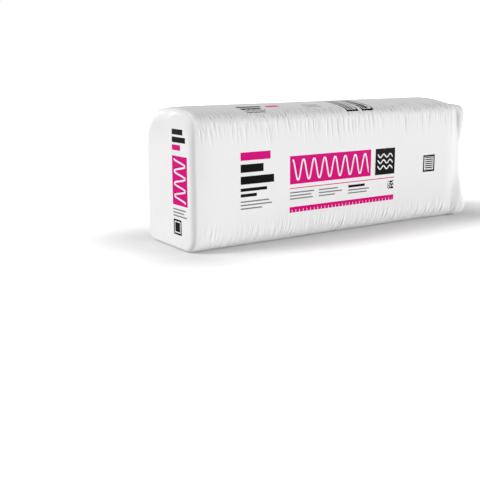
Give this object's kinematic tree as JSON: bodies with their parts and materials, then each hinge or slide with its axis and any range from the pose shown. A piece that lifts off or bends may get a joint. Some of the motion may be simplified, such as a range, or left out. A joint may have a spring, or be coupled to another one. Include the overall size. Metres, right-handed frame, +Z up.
{
  "type": "bagged bundle of unfaced fiberglass insulation batts",
  "caption": "Sealed film bag holding a stack of folded, compressed unfaced fiberglass batts, as sold and stored on its narrow long side.",
  "frame": {"origin": "middle of the footprint, on the floor that the bundle lies on", "axes": "+X along the bundle, from the smooth closed end towards the welded end; +Z up"},
  "size_m": [1.435, 0.382, 0.52],
  "materials": {
    "film": "thin white printed polyethylene film, softly satin, finely wrinkled near the edges",
    "glass_wool": "matt, fibrous pink glass wool"
  },
  "bodies": {
    "root": {"film_bag": "film", "folded_batts": "glass_wool"}
  },
  "joints": []
}
